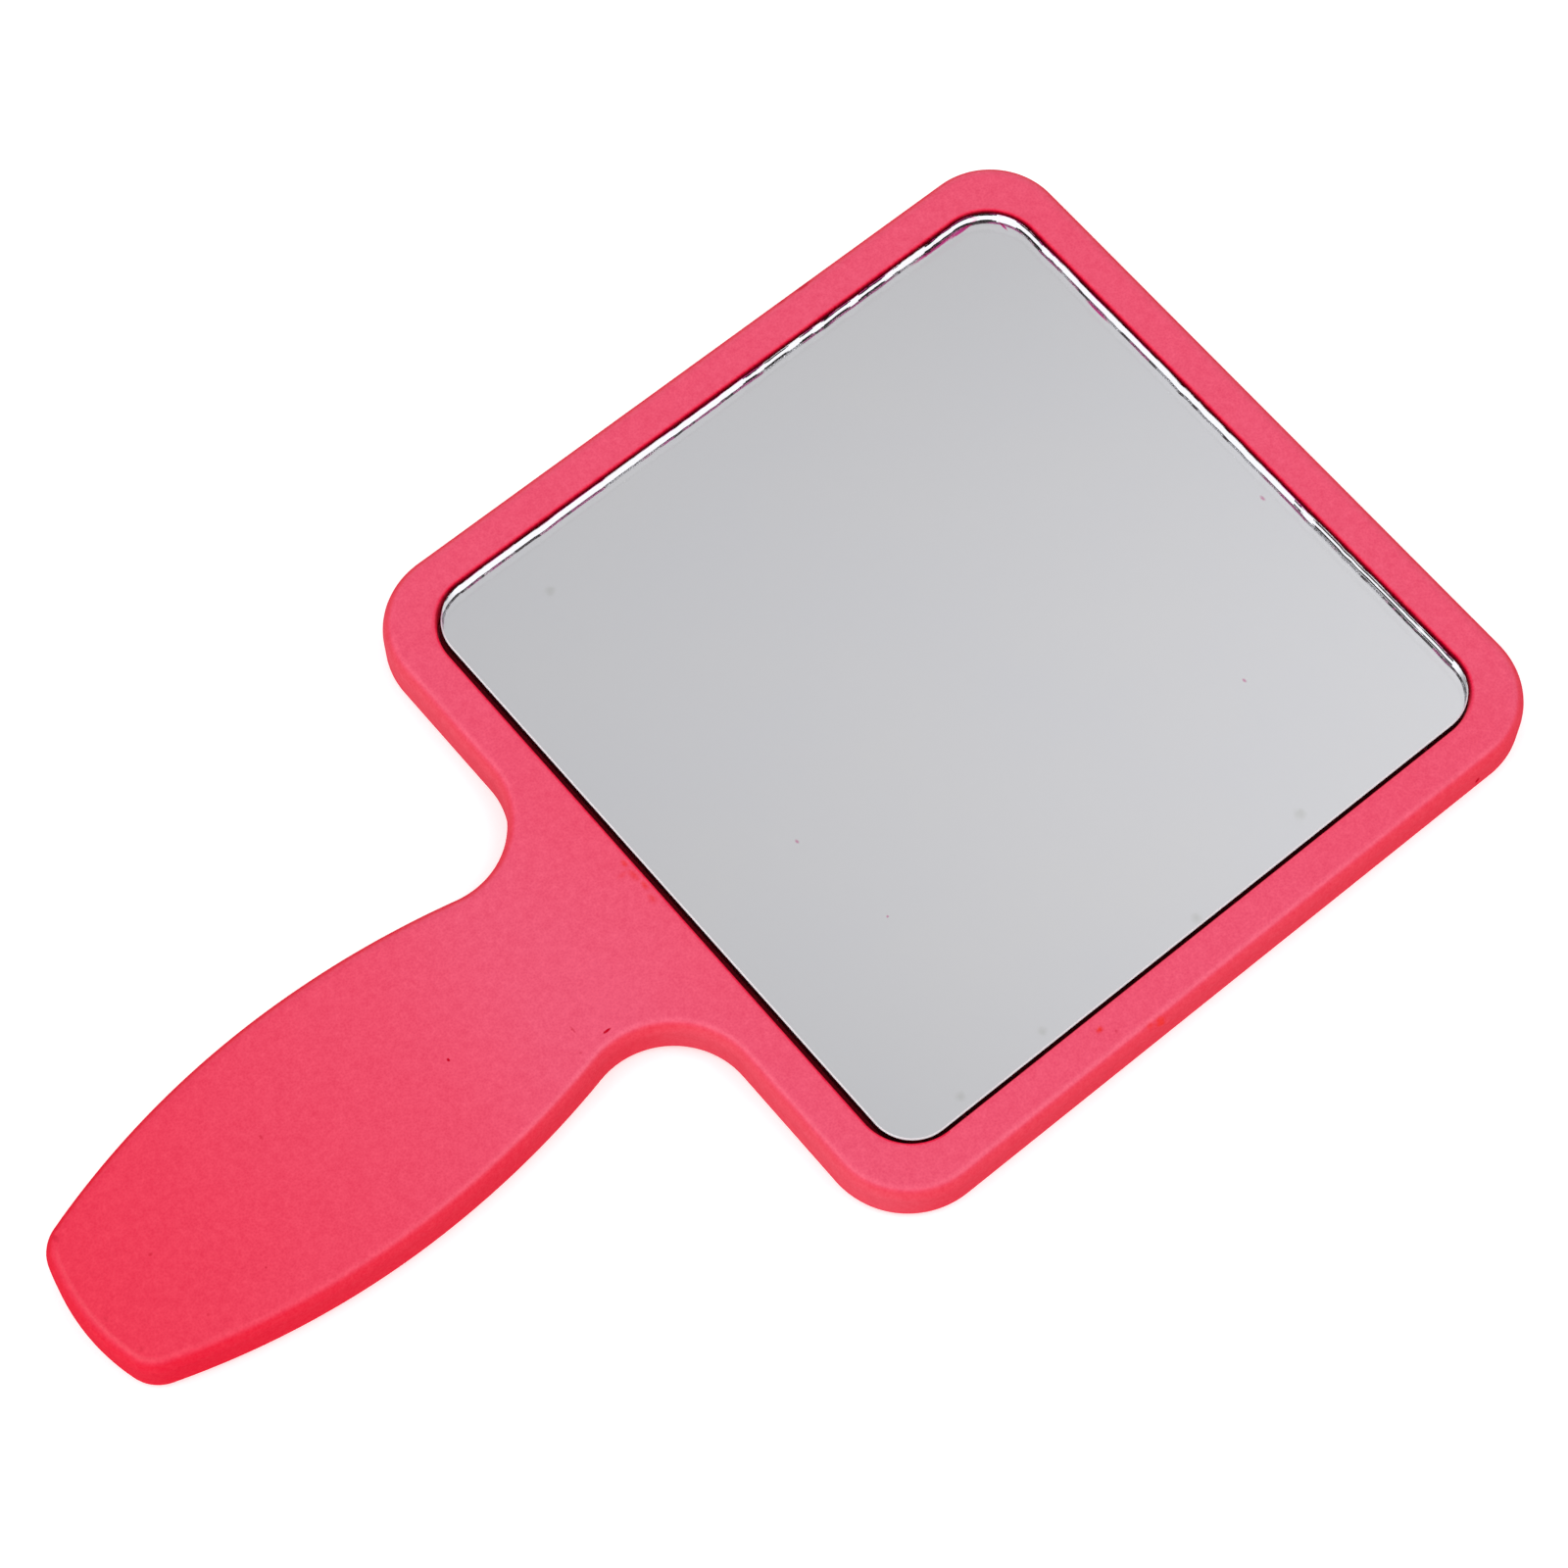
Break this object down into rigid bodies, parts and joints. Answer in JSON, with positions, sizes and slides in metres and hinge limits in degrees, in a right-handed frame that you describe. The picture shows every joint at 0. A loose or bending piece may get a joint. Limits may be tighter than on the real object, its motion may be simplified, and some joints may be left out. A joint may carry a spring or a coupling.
{
  "type": "hand mirror",
  "caption": "Square hand mirror: flat acrylic mirror set flush in a soft foam body with rounded edges and a broad, waisted handle, for showing a client the back of a haircut.",
  "frame": {"origin": "centre of the mirror window, on the flat back face the mirror lies on", "axes": "+Z out of the reflecting face, +Y from the handle to the far end of the head, +X across the width"},
  "size_m": [0.1524, 0.2689, 0.0102],
  "materials": {
    "red_foam": "matt closed-cell foam with a fine grain",
    "core_plastic": "matt black plastic strip, hidden inside the foam",
    "contact_adhesive": "dried contact adhesive film, hidden between the foam sheets",
    "foam_tape": "black double-sided foam tape",
    "backing_paint": "grey protective paint on the back of the silver",
    "silvering": "bright vacuum-deposited metal",
    "clear_acrylic": "polished clear acrylic sheet"
  },
  "bodies": {
    "root": {"rear_foam_panel": "red_foam", "front_foam_frame": "red_foam", "stiffener_core": "core_plastic", "laminating_adhesive": "contact_adhesive", "pane_tape": "foam_tape", "backing_paint": "backing_paint", "silver_layer": "silvering", "mirror_pane": "clear_acrylic"}
  },
  "joints": []
}
